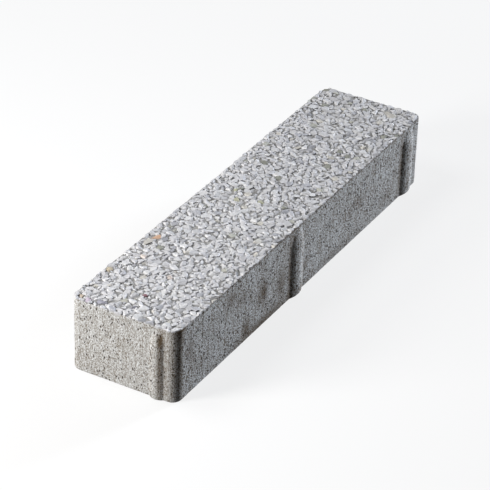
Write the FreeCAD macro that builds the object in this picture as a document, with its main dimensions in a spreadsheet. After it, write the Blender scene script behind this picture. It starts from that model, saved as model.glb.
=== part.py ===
import FreeCAD, Part

import os

import Sketcher

# A narrow concrete paving stone, cast as one piece in a steel mould.
# Millimetres. X runs along the stone, Y across it and Z up. The origin is the
# centre of the bed face, which lies on the ground.
#
# Upright spacer ribs stand on the four side faces and hold the sand joint open
# when stones are laid tight. Each leans back into its face just under the top, so
# none shows once the joints are filled. Half a turn about Z maps the ribs onto
# each other, so that a rib never meets the rib of the stone beside it.

NODE = "paving_stone"

# alias, value in mm, what it sets
SIZES = (
    ("stone_length", 497.0, "X size without ribs: 500 as laid, less a 3 mm joint"),
    ("stone_width", 117.0, "Y size without ribs: 120 as laid, less a 3 mm joint"),
    ("stone_height", 80.0, "bed face to wearing face"),
    ("corner_radius", 10.0, "the four upright corners"),
    ("rib_projection", 3.0, "how far a rib stands out of its face"),
    ("rib_root", 4.0, "how far a rib's section reaches into the stone"),
    ("side_rib_width", 25.0, "a long side's rib where it meets the face"),
    ("end_rib_width", 15.0, "a short end's rib where it meets the face"),
    ("middle_rib_offset", 20.5, "middle of the stone to the middle rib's centre"),
    ("outer_rib_inset", 30.0, "end face to the outer rib's centre"),
    ("end_rib_inset", 21.5, "long side face to the end rib's centre"),
    ("rib_top_gap", 4.0, "wearing face down to where a rib has run out"),
    ("rib_run_out", 16.0, "height over which a rib leans back into its face"),
)

# Up to its shoulder a rib stands upright; above, it leans back into its face.
RIB_SHOULDER = "sizes.stone_height - sizes.rib_top_gap - sizes.rib_run_out"
HALF_LENGTH = "sizes.stone_length / 2"
HALF_WIDTH = "sizes.stone_width / 2"

# Point numbers in a sketch: a line's or arc's two ends and an arc's centre.
START, END, CENTRE = 1, 2, 3
# The sketch origin is the start point of its X axis, which is geometry -1.
ORIGIN = (-1, START)


def fill_sheet(doc):
    """Write the driving sizes into a sheet, one row each, and name their cells."""
    sheet = doc.addObject("Spreadsheet::Sheet", "sizes")
    for row, (alias, value, meaning) in enumerate(SIZES, start=1):
        sheet.set(f"A{row}", alias)
        sheet.set(f"B{row}", str(value))
        sheet.set(f"C{row}", meaning)
        sheet.setAlias(f"B{row}", alias)
    doc.recompute()


def origin_feature(body, role):
    """Find one of the body's own origin planes or axes, such as XY_Plane."""
    return next(f for f in body.Origin.OriginFeatures if f.Role == role)


def new_sketch(body, name, plane, turn=0.0):
    """Start a sketch on an origin plane of the body, turned in it by some degrees."""
    sketch = body.newObject("Sketcher::SketchObject", name)
    sketch.AttachmentSupport = [(origin_feature(body, plane), "")]
    sketch.MapMode = "FlatFace"
    sketch.AttachmentOffset.Rotation = FreeCAD.Rotation(FreeCAD.Vector(0, 0, 1), turn)
    return sketch


def size_of(sketch, expression):
    """Work out a sheet expression in millimetres."""
    return float(sketch.evalExpression(expression))


def dimension(sketch, kind, *references, size):
    """Add a dimension that follows a sheet expression."""
    value = size_of(sketch, size)
    number = sketch.addConstraint(Sketcher.Constraint(kind, *references, value))
    sketch.setExpression(f"Constraints[{number}]", size)


def relate(sketch, kind, *references):
    """Add a geometric constraint, which has no size."""
    sketch.addConstraint(Sketcher.Constraint(kind, *references))


def draw_chain(sketch, points):
    """Draw straight lines from point to point and join them end to start."""
    vectors = [FreeCAD.Vector(x, y, 0) for x, y in points]
    lines = [
        sketch.addGeometry(Part.LineSegment(start, end))
        for start, end in zip(vectors, vectors[1:])
    ]
    for line, following in zip(lines, lines[1:]):
        relate(sketch, "Coincident", line, END, following, START)
    return lines


def outline_sketch(body):
    """Draw the stone's plan, a rectangle about the origin."""
    sketch = new_sketch(body, "outline", "XY_Plane")
    x = size_of(sketch, HALF_LENGTH)
    y = size_of(sketch, HALF_WIDTH)
    corners = ((-x, -y), (x, -y), (x, y), (-x, y), (-x, -y))
    front, right, back, left = draw_chain(sketch, corners)
    relate(sketch, "Coincident", left, END, front, START)
    for line in (front, back):
        relate(sketch, "Horizontal", line)
    for line in (right, left):
        relate(sketch, "Vertical", line)
    relate(sketch, "Symmetric", front, START, back, START, *ORIGIN)
    dimension(sketch, "DistanceX", front, START, front, END, size="sizes.stone_length")
    dimension(sketch, "DistanceY", right, START, right, END, size="sizes.stone_width")
    return sketch


def draw_rib(sketch, centre, width, face):
    """Draw one rib's section: an arc that swells out of the face, and its root.

    The face is parallel to the sketch's X axis and looks towards -Y. The rib's
    centre and width and the face's distance are sheet expressions.
    """
    middle = size_of(sketch, centre)
    half = size_of(sketch, width) / 2
    foot = -size_of(sketch, face)
    inside = foot + size_of(sketch, "sizes.rib_root")
    crown = foot - size_of(sketch, "sizes.rib_projection")
    left, right = middle - half, middle + half
    arc = sketch.addGeometry(
        Part.Arc(
            FreeCAD.Vector(left, foot, 0),
            FreeCAD.Vector(middle, crown, 0),
            FreeCAD.Vector(right, foot, 0),
        )
    )
    root = ((right, foot), (right, inside), (left, inside), (left, foot))
    rising, across, falling = draw_chain(sketch, root)
    relate(sketch, "Coincident", arc, END, rising, START)
    relate(sketch, "Coincident", falling, END, arc, START)
    relate(sketch, "Vertical", rising)
    relate(sketch, "Horizontal", across)
    relate(sketch, "Vertical", falling)
    relate(sketch, "Horizontal", arc, START, arc, END)
    dimension(sketch, "DistanceX", arc, START, arc, END, size=width)
    dimension(sketch, "DistanceY", rising, START, rising, END, size="sizes.rib_root")
    dimension(sketch, "DistanceY", arc, START, *ORIGIN, size=face)
    # Chord and height give an arc's radius: (half chord^2 + height^2) / (2 height).
    height = "sizes.rib_projection"
    radius = f"(({width}) ^ 2 / 4 + {height} ^ 2) / (2 * {height})"
    dimension(sketch, "Radius", arc, size=radius)
    if middle < 0:
        dimension(sketch, "DistanceX", arc, CENTRE, *ORIGIN, size=f"-({centre})")
    else:
        dimension(sketch, "DistanceX", *ORIGIN, arc, CENTRE, size=centre)


def side_rib_sketch(body, name):
    """Draw the two ribs of the front long side, one near the middle, one near +X."""
    sketch = new_sketch(body, name, "XY_Plane")
    width = "sizes.side_rib_width"
    draw_rib(sketch, "-sizes.middle_rib_offset", width, HALF_WIDTH)
    draw_rib(sketch, f"{HALF_LENGTH} - sizes.outer_rib_inset", width, HALF_WIDTH)
    return sketch


def end_rib_sketch(body, name):
    """Draw the rib of the -X end, in a sketch turned so that this end faces its -Y."""
    sketch = new_sketch(body, name, "XY_Plane", turn=-90)
    centre = f"{HALF_WIDTH} - sizes.end_rib_inset"
    draw_rib(sketch, centre, "sizes.end_rib_width", HALF_LENGTH)
    return sketch


def add_pad(body, name, sketch, height):
    """Raise a sketch from the bed plane to a height given by a sheet expression."""
    pad = body.newObject("PartDesign::Pad", name)
    pad.Profile = sketch
    pad.setExpression("Length", height)
    body.Document.recompute()
    return pad


def add_leaning_pad(body, name, sketch, inward):
    """Raise a sketch from the ribs' shoulder while it leans back out of sight.

    It leans along inward, the body's x or y axis, by the ribs' projection, so
    that the crown of each rib ends in the face.
    """
    sketch.setExpression(".AttachmentOffset.Base.z", RIB_SHOULDER)
    pad = body.newObject("PartDesign::Pad", name)
    pad.Profile = sketch
    pad.UseCustomVector = True
    pad.AlongSketchNormal = True
    pad.Direction = FreeCAD.Vector(0, 0, 1)
    pad.setExpression(f"Direction.{inward}", "sizes.rib_projection")
    pad.setExpression("Direction.z", "sizes.rib_run_out")
    pad.setExpression("Length", "sizes.rib_run_out")
    body.Document.recompute()
    return pad


def round_upright_edges(body, base, radius):
    """Round every upright edge of a feature."""
    upright = [
        f"Edge{number}"
        for number, edge in enumerate(base.Shape.Edges, start=1)
        if abs(edge.tangentAt(edge.FirstParameter).z) > 0.99
    ]
    fillet = body.newObject("PartDesign::Fillet", "upright_corners")
    fillet.Base = (base, upright)
    fillet.setExpression("Radius", radius)
    body.Document.recompute()
    return fillet


def repeat_half_turn(body, features):
    """Repeat features half a turn about Z."""
    pattern = body.newObject("PartDesign::PolarPattern", "other_half")
    pattern.Originals = features
    pattern.Axis = (origin_feature(body, "Z_Axis"), [""])
    pattern.Angle = 360
    pattern.Occurrences = 2
    body.Tip = pattern
    body.Document.recompute()
    return pattern


def build_stone(doc):
    """Build the paving stone: the block, its upright corners and its spacer ribs."""
    body = doc.addObject("PartDesign::Body", NODE)
    body.Label = NODE
    body.Placement = FreeCAD.Placement()
    block = add_pad(body, "block", outline_sketch(body), "sizes.stone_height")
    round_upright_edges(body, block, "sizes.corner_radius")
    side_sections = side_rib_sketch(body, "side_rib_sections")
    side_ribs = add_pad(body, "side_ribs", side_sections, RIB_SHOULDER)
    end_section = end_rib_sketch(body, "end_rib_section")
    end_rib = add_pad(body, "end_rib", end_section, RIB_SHOULDER)
    side_shoulders = side_rib_sketch(body, "side_rib_shoulders")
    side_tops = add_leaning_pad(body, "side_rib_tops", side_shoulders, "y")
    end_shoulder = end_rib_sketch(body, "end_rib_shoulder")
    end_top = add_leaning_pad(body, "end_rib_top", end_shoulder, "x")
    repeat_half_turn(body, [side_ribs, end_rib, side_tops, end_top])
    return body


def check(doc, bodies):
    """Stop if any object failed, or if a body isn't one valid solid."""
    for thing in doc.Objects:
        if {"Invalid", "Error"} & set(thing.State):
            raise RuntimeError(f"{thing.Name} failed: {thing.State}")
    for body in bodies:
        shape = body.Shape
        if shape.isNull() or not shape.isValid() or len(shape.Solids) != 1:
            raise RuntimeError(f"{body.Label} isn't one valid solid")


def main():
    """Build the document, check it and write each piece as a STEP file."""
    doc = FreeCAD.newDocument(NODE)
    fill_sheet(doc)
    bodies = [build_stone(doc)]
    doc.recompute()
    check(doc, bodies)
    os.makedirs("parts", exist_ok=True)
    for body in bodies:
        body.Shape.exportStep(f"parts/{body.Label}.step")
        box = body.Shape.BoundBox
        print(f"{body.Label}: {box.XLength:.1f} x {box.YLength:.1f} x {box.ZLength:.1f} mm,")
        print(f"  {body.Shape.Volume / 1e6:.4f} litres, {len(body.Shape.Faces)} faces")


main()
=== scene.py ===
"""A narrow concrete paving stone with a washed wearing face and spacer ribs.

The stone is one casting. Its sides are pressed concrete, dragged smooth against
the steel mould; its wearing face is a bed of cement with crushed granite chips
laid bare in it. The stone's sizes are in millimetres and turned to metres where
vertices are made; the studio's are in metres.
"""

import logging
import math
from dataclasses import dataclass, field
from enum import Enum

import bmesh
import bpy
import numpy as np
from mathutils import Euler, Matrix, Vector, geometry, noise


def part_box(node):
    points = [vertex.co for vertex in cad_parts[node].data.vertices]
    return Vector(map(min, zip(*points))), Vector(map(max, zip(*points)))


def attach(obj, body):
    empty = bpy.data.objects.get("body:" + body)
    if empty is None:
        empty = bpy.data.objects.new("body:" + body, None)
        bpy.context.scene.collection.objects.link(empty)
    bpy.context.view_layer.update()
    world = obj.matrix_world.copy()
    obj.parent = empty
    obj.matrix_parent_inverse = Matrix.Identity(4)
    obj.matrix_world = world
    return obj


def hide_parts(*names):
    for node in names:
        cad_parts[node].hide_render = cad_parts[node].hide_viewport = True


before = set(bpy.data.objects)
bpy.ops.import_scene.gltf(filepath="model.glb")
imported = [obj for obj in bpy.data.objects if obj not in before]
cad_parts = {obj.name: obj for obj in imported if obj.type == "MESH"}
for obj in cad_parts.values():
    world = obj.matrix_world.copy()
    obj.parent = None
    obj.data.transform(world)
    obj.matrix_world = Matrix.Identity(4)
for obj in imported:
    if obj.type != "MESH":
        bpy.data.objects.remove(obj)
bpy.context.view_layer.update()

LOG = logging.getLogger("paving_stone")
MM = 0.001
STONE_NODE = "paving_stone"

# A Mix node's sockets when it mixes colours.
MIX_A, MIX_B, MIX_RESULT = 6, 7, 2

Tree = bpy.types.NodeTree
Socket = bpy.types.NodeSocket


def linear(hex_colour: str) -> tuple[float, float, float, float]:
    """Turn an sRGB hex colour into linear light.

    Args:
        hex_colour: the colour as "#RRGGBB".

    Returns:
        Red, green, blue and an alpha of 1.
    """
    channels = [int(hex_colour[start:start + 2], 16) / 255 for start in (1, 3, 5)]
    light = [c / 12.92 if c <= 0.04045 else ((c + 0.055) / 1.055) ** 2.4 for c in channels]
    return (*light, 1.0)


def add_node(tree: Tree, kind: str, inputs: dict | None = None, **settings) -> bpy.types.Node:
    """Add a node, set it up and wire its inputs.

    Args:
        tree: the node tree that it goes in.
        kind: the node's type name.
        inputs: a value, or a socket to link, for each input by name or index.
        settings: the node's own properties.

    Returns:
        The new node.
    """
    node = tree.nodes.new(kind)
    for name, value in settings.items():
        setattr(node, name, value)
    for key, value in (inputs or {}).items():
        if isinstance(value, Socket):
            tree.links.new(value, node.inputs[key])
        else:
            node.inputs[key].default_value = value
    return node


def per_metre(millimetres: float) -> float:
    """Turn the size of a pattern's features into a texture node's scale."""
    return 1 / (millimetres * MM)


def calculate(tree: Tree, operation: str, *terms: Socket | float, clamp: bool = False) -> Socket:
    """Add one step of arithmetic.

    Args:
        tree: the node tree that it goes in.
        operation: the Math node's operation.
        terms: what it works on, in order.
        clamp: whether the result is held between 0 and 1.

    Returns:
        The result.
    """
    inputs = dict(enumerate(terms))
    return add_node(tree, "ShaderNodeMath", inputs, operation=operation, use_clamp=clamp).outputs[0]


def ramp(
    tree: Tree, value: Socket, ends: tuple[float, float], results: tuple[float, float] = (0.0, 1.0)
) -> Socket:
    """Map a value evenly from one range to another and hold it inside.

    Args:
        tree: the node tree to work in.
        value: the value to map.
        ends: where the range starts and ends.
        results: what the value becomes at those ends.

    Returns:
        The mapped value.
    """
    inputs = {
        "Value": value,
        "From Min": ends[0],
        "From Max": ends[1],
        "To Min": results[0],
        "To Max": results[1],
    }
    return add_node(tree, "ShaderNodeMapRange", inputs).outputs[0]


def noise_pattern(tree: Tree, place: Socket, scale: float, detail: float, roughness: float = 0.5) -> Socket:
    """Add a noise pattern that averages 0.5.

    Args:
        tree: the node tree that it goes in.
        place: the coordinates that it follows.
        scale: the pattern's scale.
        detail: how many finer layers it has.
        roughness: how strong the finer layers are.

    Returns:
        The pattern's value.
    """
    inputs = {"Vector": place, "Scale": scale, "Detail": detail, "Roughness": roughness}
    return add_node(tree, "ShaderNodeTexNoise", inputs).outputs["Fac"]


def stretched(tree: Tree, place: Socket, scale: tuple[float, ...]) -> Socket:
    """Scale coordinates along each axis by itself."""
    return add_node(tree, "ShaderNodeVectorMath", {0: place, 1: scale}, operation="MULTIPLY").outputs[0]


def blend(tree: Tree, share: Socket, first: Socket | tuple, second: Socket | tuple) -> Socket:
    """Mix two colours; a share of 0 is the first and 1 the second."""
    inputs = {0: share, MIX_A: first, MIX_B: second}
    return add_node(tree, "ShaderNodeMix", inputs, data_type="RGBA").outputs[MIX_RESULT]


def point_value(tree: Tree, name: str, output: str = "Fac") -> Socket:
    """Read an attribute that the mesh carries at its points."""
    return add_node(tree, "ShaderNodeAttribute", attribute_name=name).outputs[output]


def direction(heading: float, rise: float) -> Vector:
    """Point at a heading from X, anticlockwise, and a rise above the floor, in degrees."""
    turn, lift = math.radians(heading), math.radians(rise)
    return Vector((math.cos(turn) * math.cos(lift), math.sin(turn) * math.cos(lift), math.sin(lift)))


def smooth_step(low: float, high: float, value: np.ndarray) -> np.ndarray:
    """Rise smoothly from 0 at low to 1 at high."""
    share = np.clip((value - low) / (high - low), 0, 1)
    return share * share * (3 - 2 * share)


def field_noise(points: np.ndarray, size: tuple[float, float, float], seed: int) -> np.ndarray:
    """Sample smooth noise between about -1 and 1.

    Args:
        points: positions in millimetres, one per row.
        size: the length of the noise's features along X, Y and Z.
        seed: which patch of noise is used.

    Returns:
        One value for each point.
    """
    shift = np.array([17.3, -41.7, 29.1]) * seed
    scaled = points / np.array(size) + shift
    return np.array([noise.noise(Vector(row)) for row in scaled])


class Face(Enum):
    """The four side faces, by the direction that they look in."""

    FRONT = (0, -1)
    RIGHT_END = (1, 0)
    BACK = (0, 1)
    LEFT_END = (-1, 0)


@dataclass(frozen=True)
class Rib:
    """An upright spacer rib: a shallow round bar sunk in a face, which leans in at its top."""

    face: Face
    centre: float
    width: float
    projection: float = 3.0
    shoulder: float = 60.0
    top: float = 76.0

    def swell(self, along: np.ndarray, height: np.ndarray) -> np.ndarray:
        """Tell how far the rib stands out of its face.

        Args:
            along: distances along the face, in millimetres.
            height: heights above the bed, in millimetres.

        Returns:
            The projection at each place, zero beside the rib.
        """
        radius = (self.width ** 2 / 4 + self.projection ** 2) / (2 * self.projection)
        lean = (height - self.shoulder) / (self.top - self.shoulder)
        crown = self.projection * (1 - np.maximum(lean, 0))
        offset = along - self.centre
        bar = np.sqrt(np.maximum(radius ** 2 - offset ** 2, 0)) - (radius - crown)
        return np.where(np.abs(offset) < radius, np.maximum(bar, 0), 0)


@dataclass(frozen=True)
class StainAndPaintedShade:
    """A brownish patch on a side. Most are stains where damp and bedding sand have marked it; those on the
    ribs' shaded flanks and down the upright corner are painted shade.
    """

    centre: tuple[float, float, float]
    reach: tuple[float, float, float]
    strength: float

    def strength_at(self, points: np.ndarray) -> np.ndarray:
        """Give the patch's strength at each point, fading out from its centre."""
        away = (points - np.array(self.centre)) / np.array(self.reach)
        return self.strength * np.exp(-(away ** 2).sum(axis=1))


@dataclass(frozen=True)
class Outline:
    """The stone's plan without its ribs: a rectangle with rounded corners."""

    length: float
    width: float
    corner_radius: float = 10.0

    def walk(self, spacing: float) -> tuple[np.ndarray, np.ndarray, list[Face | None]]:
        """Walk round the plan anticlockwise from the front face's left end.

        Args:
            spacing: the distance between samples, in millimetres.

        Returns:
            The points, their outward normals, and the face that each is on, or
            None on a corner.
        """
        points, normals, faces = [], [], []
        half = np.array([self.length, self.width]) / 2
        radius = self.corner_radius
        for face in Face:
            normal = np.array(face.value, float)
            ahead = np.array([-normal[1], normal[0]])
            run = abs(ahead @ half) - radius
            count = round(2 * run / spacing)
            for step in range(count):
                point = normal * abs(normal @ half) + ahead * (2 * run * step / count - run)
                points.append(point)
                normals.append(normal)
                faces.append(face)
            corner = normal * (abs(normal @ half) - radius) + ahead * run
            count = round(radius * math.pi / 2 / spacing)
            for step in range(count):
                turn = math.pi / 2 * step / count
                outward = normal * math.cos(turn) + ahead * math.sin(turn)
                points.append(corner + outward * radius)
                normals.append(outward)
                faces.append(None)
        return np.array(points), np.array(normals), faces

    def pull_inside(self, points: np.ndarray, inset: float) -> np.ndarray:
        """Move points that lie outside the plan, less an inset, back onto its edge.

        Args:
            points: X and Y in millimetres, one point per row.
            inset: how far inside the plan the edge is taken.

        Returns:
            The moved points.
        """
        straight = np.array([self.length, self.width]) / 2 - self.corner_radius
        core = np.clip(points, -straight, straight)
        away = points - core
        distance = np.linalg.norm(away, axis=1)
        limit = self.corner_radius - inset
        share = np.where(distance > limit, limit / np.maximum(distance, 1e-9), 1)
        return core + away * share[:, None]

    def depth(self, points: np.ndarray) -> np.ndarray:
        """Tell how far inside the plan points lie, in millimetres; negative is outside."""
        straight = np.array([self.length, self.width]) / 2 - self.corner_radius
        away = np.abs(points) - straight
        outside = np.linalg.norm(np.maximum(away, 0), axis=1)
        inside = np.minimum(away.max(axis=1), 0)
        return self.corner_radius - outside - inside


@dataclass(frozen=True)
class Finish:
    """What every finish sets, and how its material starts and ends."""

    name: str
    relief: float
    roughness: float
    ior: float
    specular: float

    def start(self) -> tuple[bpy.types.Material, Socket]:
        """Make an empty material.

        Returns:
            The material and the object's coordinates, in metres.
        """
        material = bpy.data.materials.new(self.name)
        material.use_nodes = True
        place = add_node(material.node_tree, "ShaderNodeTexCoord").outputs["Object"]
        return material, place

    def complete(self, material: bpy.types.Material, colour: Socket, height: Socket) -> bpy.types.Material:
        """Lead the colour and the fine relief into the material's shader.

        Args:
            material: the material.
            colour: its finished colour.
            height: its fine relief, as a share of the finish's own.

        Returns:
            The finished material.
        """
        tree = material.node_tree
        shader = tree.nodes["Principled BSDF"]
        bump_inputs = {"Height": height, "Strength": 1.0, "Distance": self.relief * MM}
        bump = add_node(tree, "ShaderNodeBump", bump_inputs)
        tree.links.new(colour, shader.inputs["Base Color"])
        tree.links.new(bump.outputs[0], shader.inputs["Normal"])
        shader.inputs["Roughness"].default_value = self.roughness
        shader.inputs["IOR"].default_value = self.ior
        shader.inputs["Specular IOR Level"].default_value = self.specular
        return material


@dataclass(frozen=True)
class PressedConcrete(Finish):
    """Vibro-pressed grey concrete, drawn upwards out of a steel mould.

    Drawing it out leaves fine upright drag marks, and the dry mix leaves pores
    and grit: a dull, speckled grey that is nowhere smooth or shiny. The pores
    are painted dark: painted shade in the pits.
    """

    name: str = "vibro_pressed_concrete_mould_drawn"
    relief: float = 0.6
    roughness: float = 0.92
    ior: float = 1.5
    specular: float = 0.25
    paste: str = "#D9DBDC"
    shaded_paste: str = "#6F6456"
    # The colour painted into the pores: painted shade in the pits.
    pore: str = "#382E24"
    # The colour of the stains, which is also painted as shade on the ribs' shaded flanks and down the
    # upright corner.
    stain_and_painted_shade: str = "#594B3A"
    contrast: float = 6.0
    # The grain is longer along the stone and upwards than it is deep.
    grain_size: float = 0.8
    grain_stretch: tuple[float, float, float] = (1.9, 1.0, 1.7)
    drag_width: float = 1.6
    drag_length: float = 16.0
    drag_share: float = 0.18
    drag_relief: float = 0.5
    cloud_size: float = 26.0
    cloud_share: float = 0.08
    # Stains and painted shade take more strongly on dark grain than on pale.
    stain_and_shade_on_grain: tuple[float, float] = (1.4, 0.85)
    # Pores are round, from none to this share of the distance between them.
    pore_spacing: float = 2.05
    largest_pore: float = 0.38
    # How dark the pores are painted: painted shade in the pits.
    pore_painted_shade: float = 0.9
    pore_depth: float = 1.5

    def build(self) -> bpy.types.Material:
        """Make the material.

        Returns:
            The finished material.
        """
        material, place = self.start()
        tree = material.node_tree
        drag_size = (2 * self.drag_width, self.drag_width, self.drag_length)
        drag = noise_pattern(tree, stretched(tree, place, tuple(map(per_metre, drag_size))), 1.0, 1.0)
        grain_scale = tuple(per_metre(stretch * self.grain_size) for stretch in self.grain_stretch)
        grown = stretched(tree, place, grain_scale)
        grain = noise_pattern(tree, grown, 1.0, 2.0, 0.6)
        cloud = noise_pattern(tree, place, per_metre(self.cloud_size), 3.0, 0.6)
        tone = calculate(tree, "MULTIPLY_ADD", drag, self.drag_share, grain)
        tone = calculate(tree, "MULTIPLY_ADD", cloud, self.cloud_share, tone)
        mean_tone = 0.5 * (1 + self.drag_share + self.cloud_share)
        swing = calculate(tree, "SUBTRACT", tone, mean_tone)
        swing = calculate(tree, "MULTIPLY", swing, point_value(tree, "coarseness"))
        share = calculate(tree, "MULTIPLY_ADD", swing, self.contrast, 0.5, clamp=True)
        colour = blend(tree, share, linear(self.shaded_paste), linear(self.paste))
        # Blend in the stains and the painted shade that the mesh carries at its points.
        patchy = ramp(tree, grain, (0.3, 0.6), self.stain_and_shade_on_grain)
        stained_and_shaded = calculate(tree, "MULTIPLY", point_value(tree, "stain_and_painted_shade"), patchy, clamp=True)
        colour = blend(tree, stained_and_shaded, colour, linear(self.stain_and_painted_shade))
        pore_scale = self.grain_size / self.pore_spacing
        cells = add_node(tree, "ShaderNodeTexVoronoi", {"Vector": grown, "Scale": pore_scale})
        chance = add_node(tree, "ShaderNodeSeparateColor", {0: cells.outputs["Color"]}).outputs[0]
        rim = ramp(tree, chance, (0.25, 0.9), (0.0, self.largest_pore))
        past_rim = calculate(tree, "SUBTRACT", cells.outputs["Distance"], rim)
        pore = ramp(tree, past_rim, (-0.02, 0.06), (1.0, 0.0))
        # Painting the pores dark is painted shade in the pits.
        painted_pore_shade = calculate(tree, "MULTIPLY", pore, self.pore_painted_shade)
        colour = blend(tree, painted_pore_shade, colour, linear(self.pore))
        height = calculate(tree, "MULTIPLY_ADD", drag, self.drag_relief, grain)
        height = calculate(tree, "MULTIPLY_ADD", pore, -self.pore_depth, height)
        return self.complete(material, colour, height)


@dataclass(frozen=True)
class WashedMatrix(Finish):
    """The cement between the chips, washed back with water before it set.

    Washing leaves a sandy, slightly darker grey that shows only in the hollows.
    """

    name: str = "cement_matrix_washed"
    relief: float = 0.4
    roughness: float = 0.95
    ior: float = 1.5
    specular: float = 0.25
    cement: str = "#ADACAB"
    sand: str = "#908E8B"
    sand_size: float = 0.9

    def build(self) -> bpy.types.Material:
        """Make the material.

        Returns:
            The finished material.
        """
        material, place = self.start()
        tree = material.node_tree
        grains = noise_pattern(tree, place, per_metre(self.sand_size), 3.0, 0.7)
        share = ramp(tree, grains, (0.3, 0.65))
        colour = blend(tree, share, linear(self.sand), linear(self.cement))
        return self.complete(material, colour, grains)


@dataclass(frozen=True)
class CrushedGranite(Finish):
    """Crushed pale granite, laid bare by washing and a light brush.

    Fresh fracture faces give each chip its own even grey, with feldspar mottling,
    a few dark flecks of mica and cement dust left low down on its flanks.
    """

    name: str = "granite_chips_crushed_washed"
    relief: float = 0.3
    roughness: float = 0.62
    ior: float = 1.54
    specular: float = 0.35
    dust: str = "#ABAAA9"
    dust_share: float = 0.6
    dust_heights: tuple[float, float] = (77.6, 79.0)
    fleck: str = "#85848A"
    fleck_share: float = 0.5
    fleck_spacing: float = 2.6
    mottle_size: float = 2.2
    mottle_range: tuple[float, float] = (0.84, 1.1)

    def build(self) -> bpy.types.Material:
        """Make the material.

        Returns:
            The finished material.
        """
        material, place = self.start()
        tree = material.node_tree
        chip = point_value(tree, "chip_colour", "Color")
        mottle = noise_pattern(tree, place, per_metre(self.mottle_size), 3.0, 0.6)
        shade = ramp(tree, mottle, (0.3, 0.7), self.mottle_range)
        scaled = add_node(tree, "ShaderNodeVectorMath", {0: chip, "Scale": shade}, operation="SCALE")
        spots = {"Vector": place, "Scale": per_metre(self.fleck_spacing)}
        cells = add_node(tree, "ShaderNodeTexVoronoi", spots)
        fleck = ramp(tree, cells.outputs["Distance"], (0.06, 0.14), (self.fleck_share, 0.0))
        colour = blend(tree, fleck, scaled.outputs[0], linear(self.fleck))
        height = add_node(tree, "ShaderNodeSeparateXYZ", {0: place}).outputs["Z"]
        low, high = self.dust_heights
        dusty = ramp(tree, height, (low * MM, high * MM), (self.dust_share, 0.0))
        colour = blend(tree, dusty, colour, linear(self.dust))
        return self.complete(material, colour, mottle)


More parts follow.
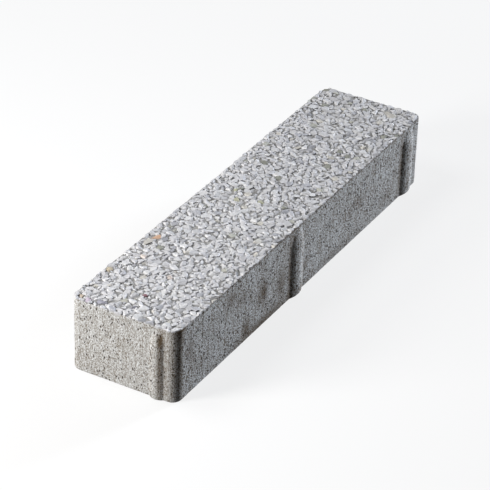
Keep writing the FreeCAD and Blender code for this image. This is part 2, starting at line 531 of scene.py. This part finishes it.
@dataclass
class CastBody:
    """The casting: pressed sides with their ribs, the washed bed and the bed face."""

    outline: Outline
    height: float
    name: str = "stone_body"
    ribs: tuple[Rib, ...] = ()
    stains_and_painted_shade: tuple[StainAndPaintedShade, ...] = ()
    wall_spacing: float = 1.0
    level_spacing: float = 2.0
    bed_spacing: float = 3.0
    underside_spacing: float = 9.0
    rim_height: float = 78.7
    rim_swing: float = 0.6
    rim_reach: float = 7.0
    rim_inset: float = 0.35
    rim_rounding: float = 0.5
    shelf_inset: float = 1.4
    shelf_drop: float = 1.1
    washed_depth: float = 1.9
    bed_swing: float = 0.5
    foot_inset: float = 0.5
    foot_rounding: float = 0.4
    underside_height: float = 0.15
    underside_swing: float = 0.1
    # How far the walls swing, then drag marks and lumps, and their sizes.
    warp: float = 0.10
    warp_size: tuple[float, float, float] = (38, 38, 38)
    drag: float = 0.09
    drag_size: tuple[float, float, float] = (2.6, 1.9, 20)
    lumps: float = 0.14
    lump_size: tuple[float, float, float] = (4.4, 2.6, 3.4)
    end_coarseness: float = 0.5
    seed: int = 3

    def levels(self) -> np.ndarray:
        """List the heights of the wall's rings, closer together near both edges."""
        foot = (0.0, 0.35, 0.9, 1.8)
        middle = np.arange(3.5, self.rim_height - 6, self.level_spacing)
        top = self.rim_height - np.array([4.6, 3.4, 2.4, 1.5, 0.8, 0.35, 0.0])
        return np.concatenate([foot, middle, top])

    def coarseness(self, normals: np.ndarray) -> np.ndarray:
        """Rate each sample's surface: 1 on the long sides, which drag hardest, less on the ends."""
        return self.end_coarseness + (1 - self.end_coarseness) * normals[:, 1] ** 2

    def wall(self) -> tuple[np.ndarray, np.ndarray, np.ndarray]:
        """Shape the wall's rings.

        Returns:
            Positions by ring and sample, in millimetres, the stain and painted
            shade at each, and the coarseness of each sample.
        """
        flat, normals, faces = self.outline.walk(self.wall_spacing)
        heights = self.levels()
        rings, marks = [], []
        coarse = self.coarseness(normals)
        around = np.column_stack([flat, np.zeros(len(flat))])
        rim = self.rim_swing * field_noise(around, (13, 13, 13), self.seed)
        rim += 0.6 * self.rim_swing * field_noise(around, (4, 4, 4), self.seed + 1)
        for level in heights:
            level_there = np.full(len(flat), level)
            lift = rim * smooth_step(self.rim_height - self.rim_reach, self.rim_height, level_there)
            place = np.column_stack([flat, level + lift])
            out = np.zeros(len(flat))
            stain_and_painted_shade = np.zeros(len(flat))
            for face in Face:
                on_face = np.array([f is face for f in faces])
                along = flat[:, 0] if face.value[0] == 0 else flat[:, 1]
                for rib in self.ribs:
                    if rib.face is face:
                        out += np.where(on_face, rib.swell(along, place[:, 2]), 0)
            for patch in self.stains_and_painted_shade:
                stain_and_painted_shade += patch.strength_at(place)
            out += self.warp * field_noise(place, self.warp_size, self.seed + 2)
            out += self.drag * coarse * field_noise(place, self.drag_size, self.seed + 3)
            out += self.lumps * coarse * field_noise(place, self.lump_size, self.seed + 4)
            below_rim = self.rim_height - level
            out -= self.rim_inset * math.exp(-below_rim / self.rim_rounding)
            out -= self.foot_inset * math.exp(-level / self.foot_rounding)
            rings.append(np.column_stack([flat + normals * out[:, None], place[:, 2]]))
            marks.append(stain_and_painted_shade)
        rings = np.array(rings)
        rings[0, :, 2] = 0
        return rings, np.array(marks), coarse

    def cap(self, ring: np.ndarray, spacing: float) -> tuple[np.ndarray, np.ndarray]:
        """Fill a ring with points and join them all.

        Args:
            ring: the ring's positions, in millimetres.
            spacing: the distance between the points inside it.

        Returns:
            The X and Y of the points inside, and the triangles, whose numbers
            count the ring's points first.
        """
        half = np.array([self.outline.length, self.outline.width]) / 2
        columns = np.arange(-half[0], half[0], spacing)
        rows = np.arange(-half[1], half[1], spacing)
        grid = np.array([(x + spacing / 2 * (i % 2), y) for i, y in enumerate(rows) for x in columns])
        grid += 0.25 * spacing * np.random.default_rng(self.seed).uniform(-1, 1, grid.shape)
        grid = grid[self.outline.depth(grid) > self.shelf_inset + 0.5 * spacing]
        count = len(ring)
        flat = [Vector(p) for p in np.vstack([ring[:, :2], grid])]
        border = [(i, (i + 1) % count) for i in range(count)]
        result = geometry.delaunay_2d_cdt(flat, border, [list(range(count))], 1, 1e-6)
        order = [origins[0] for origins in result[3]]
        triangles = np.array([[order[i] for i in face] for face in result[2]])
        return grid, triangles

    def uneven(self, grid: np.ndarray, height: float, swing: float, lump: float, seed: int) -> np.ndarray:
        """Raise flat points to a height that varies gently.

        Args:
            grid: X and Y in millimetres, one point per row.
            height: the height about which it varies.
            swing: how far it varies.
            lump: the size of its rises and falls.
            seed: which patch of noise is used.

        Returns:
            The points, with their heights.
        """
        place = np.column_stack([grid, np.zeros(len(grid))])
        return np.column_stack([grid, height + swing * field_noise(place, (lump, lump, lump), seed)])

    def build(self, side: bpy.types.Material, bed: bpy.types.Material) -> bpy.types.Object:
        """Make the casting's mesh and dress it.

        Args:
            side: the finish of the sides and the bed face.
            bed: the finish of the washed bed between the chips.

        Returns:
            The finished object.
        """
        rings, marks, coarse = self.wall()
        levels, count = rings.shape[:2]
        rim = rings[-1]
        shelf_edge = self.outline.pull_inside(rim[:, :2], self.shelf_inset)
        shelf = np.column_stack([shelf_edge, rim[:, 2] - self.shelf_drop])
        bed_grid, bed_triangles = self.cap(shelf, self.bed_spacing)
        bed_height = self.height - self.washed_depth
        bed_points = self.uneven(bed_grid, bed_height, self.bed_swing, 7, self.seed + 6)
        under_grid, under_triangles = self.cap(rings[0], self.underside_spacing)
        under_points = self.uneven(
            under_grid, self.underside_height, self.underside_swing, 11, self.seed + 7
        )
        wall_points = rings.reshape(-1, 3)
        shelf_start = len(wall_points)
        bed_start = shelf_start + count
        under_start = bed_start + len(bed_points)
        points = np.vstack([wall_points, shelf, bed_points, under_points])
        number = np.arange((levels + 1) * count).reshape(levels + 1, count)
        following = np.roll(number, -1, axis=1)
        quads = np.stack([number[:-1], following[:-1], following[1:], number[1:]], axis=-1)
        wall_quads = quads.reshape(-1, 4).tolist()
        bed_faces = (bed_triangles + shelf_start).tolist()
        under = np.where(under_triangles < count, under_triangles, under_triangles - count + under_start)
        under_faces = under[:, ::-1].tolist()
        mesh = bpy.data.meshes.new(self.name)
        mesh.from_pydata((points * MM).tolist(), [], wall_quads + bed_faces + under_faces)
        mesh.materials.append(side)
        mesh.materials.append(bed)
        is_bed = np.zeros(len(mesh.polygons), np.int32)
        is_bed[(levels - 1) * count:len(wall_quads) + len(bed_faces)] = 1
        mesh.polygons.foreach_set("material_index", is_bed)
        attributes = (("stain_and_painted_shade", marks.reshape(-1), 0), ("coarseness", np.tile(coarse, levels), 1))
        for name, on_wall, elsewhere in attributes:
            values = np.full(len(points), elsewhere, np.float32)
            values[:shelf_start] = on_wall
            mesh.attributes.new(name, "FLOAT", "POINT").data.foreach_set("value", values)
        mesh.shade_smooth()
        mesh.validate()
        body = bpy.data.objects.new(self.name, mesh)
        bpy.context.collection.objects.link(body)
        return body


@dataclass(frozen=True)
class Sieve:
    """One size of chip: its radii, how closely it packs and how deep it sits."""

    small: float
    large: float
    crowding: float
    sink: tuple[float, float]
    corners: int


@dataclass(frozen=True)
class Stone:
    """One kind of granite in the mix, with its share of the chips."""

    colour: str
    share: float


@dataclass(frozen=True)
class OddChip:
    """A chip of an unusual colour at a known place on the wearing face."""

    x: float
    y: float
    radius: float
    colour: str


@dataclass
class WearingFace:
    """The crushed chips laid bare on top, packed from the largest to the smallest."""

    outline: Outline
    height: float
    odd_chips: tuple[OddChip, ...] = ()
    sieves: tuple[Sieve, ...] = (
        Sieve(3.0, 4.5, 0.80, (0.0, 0.9), 18),
        Sieve(2.1, 3.0, 0.66, (0.1, 1.1), 15),
        Sieve(1.4, 2.1, 0.58, (0.3, 1.4), 11),
        Sieve(0.9, 1.4, 0.55, (0.5, 1.6), 8),
    )
    stones: tuple[Stone, ...] = (
        Stone("#C7C7CA", 0.44),
        Stone("#D0D0D2", 0.25),
        Stone("#C1C1C5", 0.16),
        Stone("#CFCFD1", 0.05),
        Stone("#ABACB2", 0.05),
        Stone("#C4C1BB", 0.02),
        Stone("#B0B0A8", 0.01),
        Stone("#9A9BA1", 0.01),
        Stone("#8B8C84", 0.01),
    )
    cell: float = 0.5
    # About how far the chips' centres stay from the edge.
    clear_edge: float = 0.6
    edge_inset: float = 0.05
    corner_reach: tuple[float, float] = (0.82, 1.12)
    flatness: float = 0.8
    spread: float = 1.3
    stretch: tuple[float, float] = (0.85, 1.25)
    thickness: tuple[float, float] = (0.85, 1.15)
    # The share of its radius by which a chip's top is worn off flat.
    worn: tuple[float, float] = (0.1, 0.42)
    lean: float = 0.22
    tilt: float = 0.11
    tint_swing: float = 0.035
    shapes: int = 40
    seed: int = 11
    counts: dict[str, int] = field(default_factory=dict)

    def hulls(self, corners: int, rng: np.random.Generator) -> list[tuple[np.ndarray, np.ndarray]]:
        """Break a few angular pebble shapes.

        Args:
            corners: about how many corners each has.
            rng: the source of chance.

        Returns:
            Points on about a unit ball and triangles, for each shape.
        """
        made = []
        for _ in range(self.shapes):
            mesh = bmesh.new()
            directions = rng.normal(size=(corners, 3))
            directions /= np.linalg.norm(directions, axis=1)[:, None]
            for direction in directions * rng.uniform(*self.corner_reach, (corners, 1)):
                mesh.verts.new(direction)
            result = bmesh.ops.convex_hull(mesh, input=mesh.verts)
            loose = [e for e in result["geom_interior"] if isinstance(e, bmesh.types.BMVert)]
            bmesh.ops.delete(mesh, geom=loose, context="VERTS")
            bmesh.ops.triangulate(mesh, faces=mesh.faces)
            bmesh.ops.recalc_face_normals(mesh, faces=mesh.faces)
            mesh.verts.index_update()
            points = np.array([v.co for v in mesh.verts])
            triangles = np.array([[v.index for v in f.verts] for f in mesh.faces])
            mesh.free()
            made.append((points, triangles))
        return made

    def settle(self, free: np.ndarray, x: float, y: float, radius: float, reach: float) -> None:
        """Mark the room that a chip takes.

        Args:
            free: the room left round each cell, which this lowers.
            x: the chip's centre along the stone, in millimetres.
            y: its centre across the stone.
            radius: its radius.
            reach: the largest radius that a later chip may have.
        """
        half = np.array([self.outline.length, self.outline.width]) / 2
        span = radius + reach
        low = np.maximum(((np.array([x, y]) - span + half) / self.cell).astype(int), 0)
        high = ((np.array([x, y]) + span + half) / self.cell).astype(int) + 1
        window = free[low[0]:high[0], low[1]:high[1]]
        xs = (np.arange(low[0], low[0] + window.shape[0]) + 0.5) * self.cell - half[0] - x
        ys = (np.arange(low[1], low[1] + window.shape[1]) + 0.5) * self.cell - half[1] - y
        np.minimum(window, np.hypot(xs[:, None], ys[None, :]) - radius, out=window)

    def pack(self, rng: np.random.Generator) -> list[list[tuple[float, float, float, str]]]:
        """Pack chips from the largest sieve to the smallest.

        Args:
            rng: the source of chance.

        Returns:
            For each sieve, the centre, radius and colour of each chip.
        """
        half = np.array([self.outline.length, self.outline.width]) / 2
        shape = (2 * half / self.cell).astype(int)
        cells = (np.indices(shape).reshape(2, -1).T + 0.5) * self.cell - half
        free = np.full(shape, 99.0)
        free[(self.outline.depth(cells) < self.clear_edge).reshape(shape)] = -1
        reach = self.sieves[0].large
        colours = [stone.colour for stone in self.stones]
        shares = [stone.share for stone in self.stones]
        packed = []
        for number, sieve in enumerate(self.sieves):
            chips = []
            if number == 0:
                chips = [(c.x, c.y, c.radius, c.colour) for c in self.odd_chips]
                for x, y, radius, _ in chips:
                    self.settle(free, x, y, radius, reach)
            order = rng.permutation(free.size)
            radii = rng.uniform(sieve.small, sieve.large, free.size)
            picks = rng.choice(len(colours), free.size, p=shares)
            room = free.reshape(-1)
            for cell, radius, pick in zip(order, radii, picks):
                if room[cell] < sieve.crowding * radius:
                    continue
                x, y = cells[cell] + self.cell * rng.uniform(-0.5, 0.5, 2)
                self.settle(free, x, y, radius, reach)
                chips.append((x, y, radius, colours[pick]))
            packed.append(chips)
        return packed

    def mesh(
        self, name: str, sieves: tuple[Sieve, ...], packed: list[list[tuple]], rng: np.random.Generator
    ) -> bpy.types.Mesh:
        """Join all chips of some sieves in one mesh.

        Args:
            name: the mesh's name.
            sieves: the sieves that the chips come from.
            packed: the chips of each of those sieves.
            rng: the source of chance.

        Returns:
            The mesh, with each chip's colour as an attribute.
        """
        points, triangles, colours, start = [], [], [], 0
        for sieve, chips in zip(sieves, packed):
            hulls = self.hulls(sieve.corners, rng)
            for x, y, radius, colour in chips:
                shape, faces = hulls[rng.integers(len(hulls))]
                stretch = rng.uniform(*self.stretch)
                spread = self.spread * radius
                depth = self.flatness * radius * rng.uniform(*self.thickness)
                size = np.array([spread * stretch, spread / stretch, depth])
                turn = Euler((*rng.normal(0, self.lean, 2), rng.uniform(0, math.tau)))
                corners = (shape * size) @ np.array(turn.to_matrix()).T
                top = self.height - rng.uniform(*sieve.sink)
                corners[:, 2] += top - corners[:, 2].max() + radius * rng.uniform(*self.worn)
                slope = rng.normal(0, self.tilt, 2)
                plane = top + corners[:, :2] @ slope
                corners[:, 2] = np.minimum(np.minimum(corners[:, 2], plane), self.height)
                corners[:, :2] += (x, y)
                corners[:, :2] = self.outline.pull_inside(corners[:, :2], self.edge_inset)
                tint = np.array(linear(colour)) * rng.normal(1, self.tint_swing)
                points.append(corners)
                triangles.append(faces + start)
                colours.append(np.tile([*tint[:3], 1.0], (len(corners), 1)))
                start += len(corners)
        mesh = bpy.data.meshes.new(name)
        mesh.from_pydata((np.vstack(points) * MM).tolist(), [], np.vstack(triangles).tolist())
        attribute = mesh.attributes.new("chip_colour", "FLOAT_COLOR", "POINT")
        attribute.data.foreach_set("color", np.vstack(colours).astype(np.float32).reshape(-1))
        return mesh

    def build(self, granite: bpy.types.Material) -> list[bpy.types.Object]:
        """Make the chips and dress them.

        Args:
            granite: the chips' finish.

        Returns:
            The larger chips and the smaller grit, as two objects.
        """
        rng = np.random.default_rng(self.seed)
        packed = self.pack(rng)
        made = []
        for name, part in (("granite_chips", slice(0, 2)), ("granite_grit", slice(2, None))):
            mesh = self.mesh(name, self.sieves[part], packed[part], rng)
            mesh.materials.append(granite)
            chips = bpy.data.objects.new(name, mesh)
            bpy.context.collection.objects.link(chips)
            self.counts[name] = sum(len(sieve) for sieve in packed[part])
            made.append(chips)
        return made


@dataclass(frozen=True)
class Lamp:
    """A soft box: where it stands, how large it is and how bright it makes its aim."""

    name: str
    heading: float
    rise: float
    distance: float
    size: float
    level: float
    tint: str

    def build(self, aim: Vector) -> None:
        """Hang the lamp and turn it to its aim.

        Args:
            aim: the point that it lights, in metres.
        """
        data = bpy.data.lights.new(self.name, "AREA")
        data.shape = "DISK"
        data.size = self.size
        # A small flat lamp of power P lights its aim to P / (pi distance^2), and
        # a matt white surface then shows that over pi.
        data.energy = self.level * (math.pi * self.distance) ** 2
        data.color = linear(self.tint)[:3]
        lamp = bpy.data.objects.new(self.name, data)
        bpy.context.collection.objects.link(lamp)
        away = direction(self.heading, self.rise)
        lamp.location = aim + away * self.distance
        lamp.rotation_euler = away.to_track_quat("Z", "Y").to_euler()


@dataclass(frozen=True)
class Studio:
    """The pale floor, the soft lamps, the surroundings and the camera."""

    lamps: tuple[Lamp, ...] = (
        Lamp("left_soft_box", 147, 19, 1.4, 0.5, 1.20, "#FFFDFA"),
        Lamp("right_soft_box", 341, 12, 5.0, 1.3, 1.58, "#F0F6FF"),
        Lamp("back_soft_box", 120, 60, 1.1, 0.5, 0.37, "#FFFFFF"),
    )
    floor_size: float = 24.0
    floor_colour: str = "#F2F2F2"
    floor_bounce: str = "#5A5A5A"
    shadow_share: float = 0.25
    fade_from: float = 0.5
    fade_to: float = 3.0
    ambient: float = 0.07
    ambient_colour: str = "#F4F8FF"
    heading: float = 29.163
    fall: float = 31.654
    roll: float = 1.967
    distance: float = 2.4817
    aim: tuple[float, float, float] = (0.0047, 0.0152, 0.0188)
    lens: float = 179.95

    def rays_that_see_white(self, tree: Tree) -> Socket:
        """Tell the rays that show a background from those that light the stone.

        Args:
            tree: the node tree to work in.

        Returns:
            1 for camera, glossy and transmission rays, otherwise 0.
        """
        path = add_node(tree, "ShaderNodeLightPath").outputs
        seen = calculate(tree, "MAXIMUM", path["Is Camera Ray"], path["Is Glossy Ray"])
        return calculate(tree, "MAXIMUM", seen, path["Is Transmission Ray"])

    def build_world(self) -> None:
        """Surround the scene with white that gives only a little light."""
        world = bpy.data.worlds.new("studio")
        world.use_nodes = True
        tree = world.node_tree
        white = tree.nodes["Background"]
        white.inputs["Color"].default_value = (1, 1, 1, 1)
        white.inputs["Strength"].default_value = 1.0
        faint = {"Color": linear(self.ambient_colour), "Strength": self.ambient}
        dim = add_node(tree, "ShaderNodeBackground", faint)
        shown = {0: self.rays_that_see_white(tree), 1: dim.outputs[0], 2: white.outputs[0]}
        mix = add_node(tree, "ShaderNodeMixShader", shown)
        tree.links.new(mix.outputs[0], tree.nodes["World Output"].inputs["Surface"])
        bpy.context.scene.world = world

    def build_floor(self) -> None:
        """Lay a pale floor that keeps the stone's shadow and fades to white far off."""
        mesh = bpy.data.meshes.new("floor")
        half = self.floor_size / 2
        corners = [(-half, -half, 0), (half, -half, 0), (half, half, 0), (-half, half, 0)]
        mesh.from_pydata(corners, [], [(0, 1, 2, 3)])
        material = bpy.data.materials.new("studio_floor_matt_paper")
        material.use_nodes = True
        tree = material.node_tree
        tree.nodes.remove(tree.nodes["Principled BSDF"])
        place = add_node(tree, "ShaderNodeTexCoord").outputs["Object"]
        away = add_node(tree, "ShaderNodeVectorMath", {0: place}, operation="LENGTH").outputs["Value"]
        share = ramp(tree, away, (self.fade_from, self.fade_to), (self.shadow_share, 0.0))
        matt = add_node(tree, "ShaderNodeBsdfDiffuse", {"Color": linear(self.floor_colour)})
        white = add_node(tree, "ShaderNodeEmission", {"Color": (1, 1, 1, 1), "Strength": 1.0})
        seen = add_node(tree, "ShaderNodeMixShader", {0: share, 1: white.outputs[0], 2: matt.outputs[0]})
        bounce = add_node(tree, "ShaderNodeBsdfDiffuse", {"Color": linear(self.floor_bounce)})
        shown = {0: self.rays_that_see_white(tree), 1: bounce.outputs[0], 2: seen.outputs[0]}
        mix = add_node(tree, "ShaderNodeMixShader", shown)
        tree.links.new(mix.outputs[0], tree.nodes["Material Output"].inputs["Surface"])
        mesh.materials.append(material)
        floor = bpy.data.objects.new("floor", mesh)
        bpy.context.collection.objects.link(floor)

    def build_camera(self) -> None:
        """Set the camera up on its aim, with a slight roll."""
        data = bpy.data.cameras.new("camera")
        data.lens = self.lens
        camera = bpy.data.objects.new("camera", data)
        bpy.context.collection.objects.link(camera)
        ahead = direction(self.heading, -self.fall)
        camera.location = Vector(self.aim) - ahead * self.distance
        turn = ahead.to_track_quat("-Z", "Y").to_matrix()
        tilt = Euler((0, 0, math.radians(self.roll))).to_matrix()
        camera.rotation_euler = (turn @ tilt).to_euler()
        bpy.context.scene.camera = camera

    def build(self) -> None:
        """Set up the whole studio."""
        self.build_world()
        self.build_floor()
        for lamp in self.lamps:
            lamp.build(Vector(self.aim))
        self.build_camera()
        bpy.context.scene.view_settings.view_transform = "Standard"


SIDE_RIB_WIDTH = 25.0
END_RIB_WIDTH = 15.0
MIDDLE_RIB = 20.5
OUTER_RIB = 218.5
END_RIB = 37.0
RIBS = (
    Rib(Face.FRONT, -MIDDLE_RIB, SIDE_RIB_WIDTH),
    Rib(Face.FRONT, OUTER_RIB, SIDE_RIB_WIDTH),
    Rib(Face.BACK, MIDDLE_RIB, SIDE_RIB_WIDTH),
    Rib(Face.BACK, -OUTER_RIB, SIDE_RIB_WIDTH),
    Rib(Face.LEFT_END, -END_RIB, END_RIB_WIDTH),
    Rib(Face.RIGHT_END, END_RIB, END_RIB_WIDTH),
)

# The front face's Y.
FRONT = -58.5
STAINS_AND_PAINTED_SHADE = (
    # Patches scattered over the long side, the widest along its foot.
    StainAndPaintedShade((-150, FRONT, 63), (10, 9, 9), 0.60),
    StainAndPaintedShade((-128, FRONT, 52), (12, 9, 8), 0.40),
    StainAndPaintedShade((-87, FRONT, 38), (9, 9, 12), 0.95),
    StainAndPaintedShade((-224, FRONT, 50), (7, 9, 15), 0.55),
    StainAndPaintedShade((-204, FRONT, 22), (6, 9, 8), 0.40),
    StainAndPaintedShade((-53, FRONT, 30), (10, 9, 18), 0.75),
    StainAndPaintedShade((-120, FRONT, 15), (8, 9, 8), 0.75),
    StainAndPaintedShade((-90, FRONT, 3), (60, 9, 7), 0.90),
    StainAndPaintedShade((-4, FRONT, 24), (5, 9, 7), 0.70),
    StainAndPaintedShade((108, FRONT, 42), (18, 9, 8), 0.45),
    StainAndPaintedShade((60, FRONT, 6), (60, 9, 5), 0.45),
    StainAndPaintedShade((170, FRONT, 16), (12, 9, 9), 0.45),
    # Painted shade on the front ribs' shaded left flanks, and at the middle rib's top where it runs out.
    StainAndPaintedShade((-35, FRONT - 1, 34), (4.5, 9, 44), 0.80),
    StainAndPaintedShade((204, FRONT - 1, 34), (4.5, 9, 44), 0.75),
    StainAndPaintedShade((-28, FRONT, 68), (6, 9, 8), 0.55),
    # Painted shade on the end rib's right flank, which the left lamp does not reach, and at its top.
    StainAndPaintedShade((-250, -41.3, 34), (9, 3.2, 44), 0.65),
    StainAndPaintedShade((-250, -41, 66), (9, 3, 7), 0.75),
    # Paste bled brown along the rim of the long side.
    StainAndPaintedShade((0, FRONT, 78.4), (400, 3, 1.6), 0.85),
    # The end face darker beside the rib towards the corner.
    StainAndPaintedShade((-248.5, -50, 34), (9, 9, 90), 0.26),
    # Painted shade down the upright corner, in the band that neither lamp reaches.
    StainAndPaintedShade((-241.5, -58.5, 40), (4.2, 1.9, 200), 0.55),
    # The front face darker next to the corner near its top.
    StainAndPaintedShade((-243, FRONT, 76), (9, 9, 8), 0.45),
)

ODD_CHIPS = (
    OddChip(-115, 48, 4.4, "#CDA88D"),
    OddChip(-188, 54, 3.4, "#B9AE9A"),
    OddChip(-240, 51, 3.0, "#BDB0A0"),
    OddChip(-151, 39, 3.0, "#CFC6C0"),
    OddChip(-169, -2, 3.0, "#C9BFBA"),
    OddChip(-209, 1, 2.0, "#7C5A62"),
    OddChip(-244, 42, 3.6, "#BDB3C2"),
    OddChip(5, 29, 3.4, "#B4B59A"),
    OddChip(-11, 18, 3.4, "#B7B6A0"),
    OddChip(-2, -5, 3.4, "#AEAE9A"),
    OddChip(-241, 28, 4.4, "#9A9AA6"),
    OddChip(-232, -1, 2.6, "#85858F"),
)


def dress(piece: bpy.types.Object) -> None:
    """Let a piece ride with the stone and log how many triangles it has."""
    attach(piece, "root")
    triangles = sum(len(face.vertices) - 2 for face in piece.data.polygons)
    LOG.info("%s: %d triangles", piece.name, triangles)


def main() -> None:
    """Build the stone and its studio."""
    logging.basicConfig(level=logging.INFO, format="%(name)s: %(message)s")
    low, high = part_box(STONE_NODE)
    size = (high - low) / MM
    outline = Outline(size.x - 2 * RIBS[0].projection, size.y - 2 * RIBS[0].projection)
    body = CastBody(outline, size.z, ribs=RIBS, stains_and_painted_shade=STAINS_AND_PAINTED_SHADE).build(
        PressedConcrete().build(), WashedMatrix().build()
    )
    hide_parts(STONE_NODE)
    dress(body)
    face = WearingFace(outline, size.z, ODD_CHIPS)
    for chips in face.build(CrushedGranite().build()):
        dress(chips)
    LOG.info("chips: %s", face.counts)
    Studio().build()


if __name__ == "__main__":
    main()
